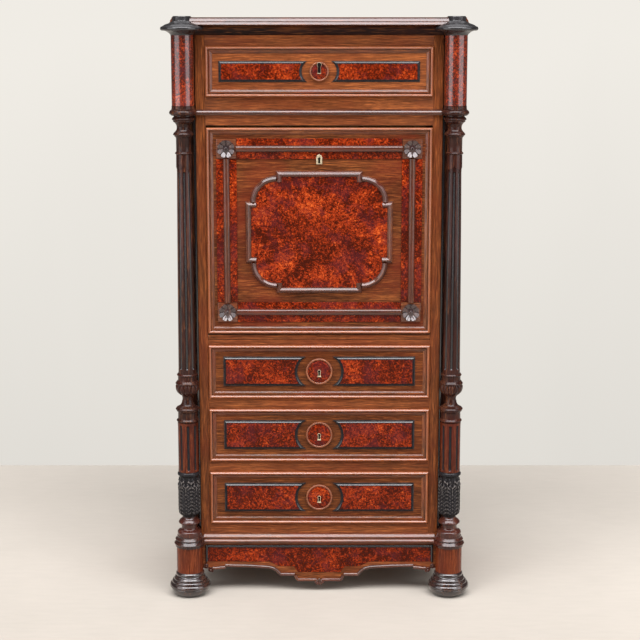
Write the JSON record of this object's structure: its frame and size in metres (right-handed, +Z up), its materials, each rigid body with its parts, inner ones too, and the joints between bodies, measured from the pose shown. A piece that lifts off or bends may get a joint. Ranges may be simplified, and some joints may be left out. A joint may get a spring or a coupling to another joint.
{
  "type": "drop-front secretary",
  "caption": "Tall drop-front secretary with turned corner columns, a frieze drawer, a hinged writing fall, long drawers and a fitted interior.",
  "frame": {"origin": "on the floor, under the middle of the object", "axes": "+Z up, the front faces -Y, +X to the right of someone facing the front"},
  "size_m": [0.788, 0.4379, 1.5],
  "materials": {
    "dark_wood": "french polished, dark",
    "walnut": "french polished, satin",
    "moulding_wood": "french polished, glossy",
    "burl": "burl veneer, glossy",
    "ebonised": "ebonised, satin",
    "inner_wood": "plain, waxed",
    "brass": "aged",
    "leather": "tooled writing leather"
  },
  "bodies": {
    "carcass": {"left_side": "walnut", "right_side": "walnut", "back_panel": "inner_wood", "bottom_board": "inner_wood", "top_board": "walnut", "cornice": "dark_wood", "cornice_caps": "dark_wood", "front_posts": "walnut", "front_rails": "walnut", "waist_moulding": "moulding_wood", "upper_drums": "burl", "column_shafts": "dark_wood", "gadroon_cups": "dark_wood", "lower_drums": "burl", "leaf_vases": "ebonised", "pedestals": "burl", "bun_feet": "ebonised", "rear_feet": "walnut", "base_moulding": "moulding_wood", "apron": "walnut", "apron_inlay": "burl", "dust_boards": "inner_wood", "drawer_guides": "inner_wood", "desk_floor": "walnut", "pigeonhole_case": "inner_wood", "pivot_plates": "brass"},
    "fall": {"fall_board": "walnut", "fall_edge_moulding": "moulding_wood", "fall_burl_bands": "burl", "fall_rods": "moulding_wood", "fall_corner_blocks": "moulding_wood", "cartouche_moulding": "moulding_wood", "cartouche_panel": "burl", "fall_leather": "leather", "fall_lock": "brass", "fall_quadrants": "brass"},
    "fall_bolt": {"fall_bolt": "brass"},
    "frieze_drawer": {"frieze_drawer_front": "walnut", "frieze_drawer_box": "inner_wood", "frieze_drawer_trim": "moulding_wood", "frieze_drawer_lock": "brass"},
    "frieze_drawer_bolt": {"frieze_drawer_bolt": "brass"},
    "drawer_1": {"drawer_1_front": "walnut", "drawer_1_box": "inner_wood", "drawer_1_trim": "moulding_wood", "drawer_1_lock": "brass"},
    "drawer_1_bolt": {"drawer_1_bolt": "brass"},
    "drawer_2": {"drawer_2_front": "walnut", "drawer_2_box": "inner_wood", "drawer_2_trim": "moulding_wood", "drawer_2_lock": "brass"},
    "drawer_2_bolt": {"drawer_2_bolt": "brass"},
    "drawer_3": {"drawer_3_front": "walnut", "drawer_3_box": "inner_wood", "drawer_3_trim": "moulding_wood", "drawer_3_lock": "brass"},
    "drawer_3_bolt": {"drawer_3_bolt": "brass"},
    "small_drawer_left": {"small_drawer_left": "inner_wood"},
    "small_drawer_middle": {"small_drawer_middle": "inner_wood"},
    "small_drawer_right": {"small_drawer_right": "inner_wood"}
  },
  "joints": [
    {"name": "fall_hinge", "type": "hinge", "parent": "carcass", "child": "fall", "pos_m": [0, -0.145, 0.689], "axis": [1, 0, 0], "range_deg": [0, 90]},
    {"name": "fall_bolt_slide", "type": "slide", "parent": "fall", "child": "fall_bolt", "axis": [0, 0, 1], "range_m": [0, 0.005]},
    {"name": "frieze_drawer_slide", "type": "slide", "parent": "carcass", "child": "frieze_drawer", "axis": [0, -1, 0], "range_m": [0, 0.25]},
    {"name": "frieze_drawer_bolt_slide", "type": "slide", "parent": "frieze_drawer", "child": "frieze_drawer_bolt", "axis": [0, 0, 1], "range_m": [0, 0.005]},
    {"name": "drawer_1_slide", "type": "slide", "parent": "carcass", "child": "drawer_1", "axis": [0, -1, 0], "range_m": [0, 0.25]},
    {"name": "drawer_1_bolt_slide", "type": "slide", "parent": "drawer_1", "child": "drawer_1_bolt", "axis": [0, 0, 1], "range_m": [0, 0.005]},
    {"name": "drawer_2_slide", "type": "slide", "parent": "carcass", "child": "drawer_2", "axis": [0, -1, 0], "range_m": [0, 0.25]},
    {"name": "drawer_2_bolt_slide", "type": "slide", "parent": "drawer_2", "child": "drawer_2_bolt", "axis": [0, 0, 1], "range_m": [0, 0.005]},
    {"name": "drawer_3_slide", "type": "slide", "parent": "carcass", "child": "drawer_3", "axis": [0, -1, 0], "range_m": [0, 0.25]},
    {"name": "drawer_3_bolt_slide", "type": "slide", "parent": "drawer_3", "child": "drawer_3_bolt", "axis": [0, 0, 1], "range_m": [0, 0.005]},
    {"name": "small_drawer_left_slide", "type": "slide", "parent": "carcass", "child": "small_drawer_left", "axis": [0, -1, 0], "range_m": [0, 0.115]},
    {"name": "small_drawer_middle_slide", "type": "slide", "parent": "carcass", "child": "small_drawer_middle", "axis": [0, -1, 0], "range_m": [0, 0.115]},
    {"name": "small_drawer_right_slide", "type": "slide", "parent": "carcass", "child": "small_drawer_right", "axis": [0, -1, 0], "range_m": [0, 0.115]}
  ]
}
